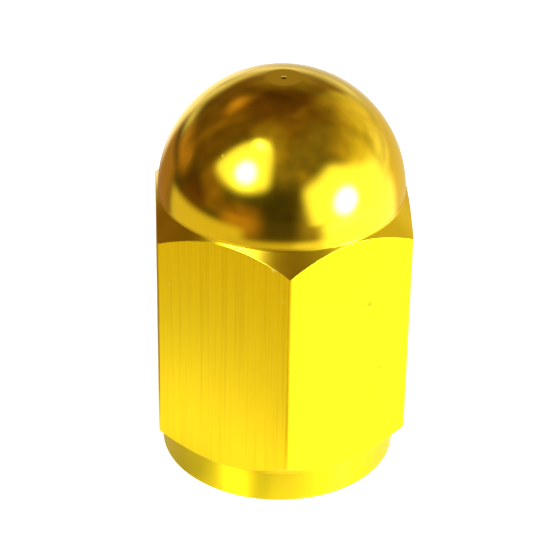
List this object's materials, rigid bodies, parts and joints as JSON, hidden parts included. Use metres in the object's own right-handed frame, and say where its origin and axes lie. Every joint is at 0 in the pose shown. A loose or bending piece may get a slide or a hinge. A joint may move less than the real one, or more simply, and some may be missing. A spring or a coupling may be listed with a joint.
{
  "type": "tyre valve cap",
  "caption": "Hexagonal tyre valve cap with a round domed nose, a short round collar and a threaded blind bore that ends in a rubber sealing ring.",
  "frame": {"origin": "centre of the mouth face, on the axis of the bore", "axes": "+Z along the axis from the mouth to the dome, with one corner of the hexagon along -Y and two flats facing +X and -X"},
  "size_m": [0.01, 0.0114, 0.0168],
  "materials": {
    "anodised_aluminium": "yellow anodised, polished on the dome and drawn on the flats",
    "black_rubber": "moulded, matt"
  },
  "bodies": {
    "root": {"cap": "anodised_aluminium", "sealing_ring": "black_rubber"}
  },
  "joints": []
}
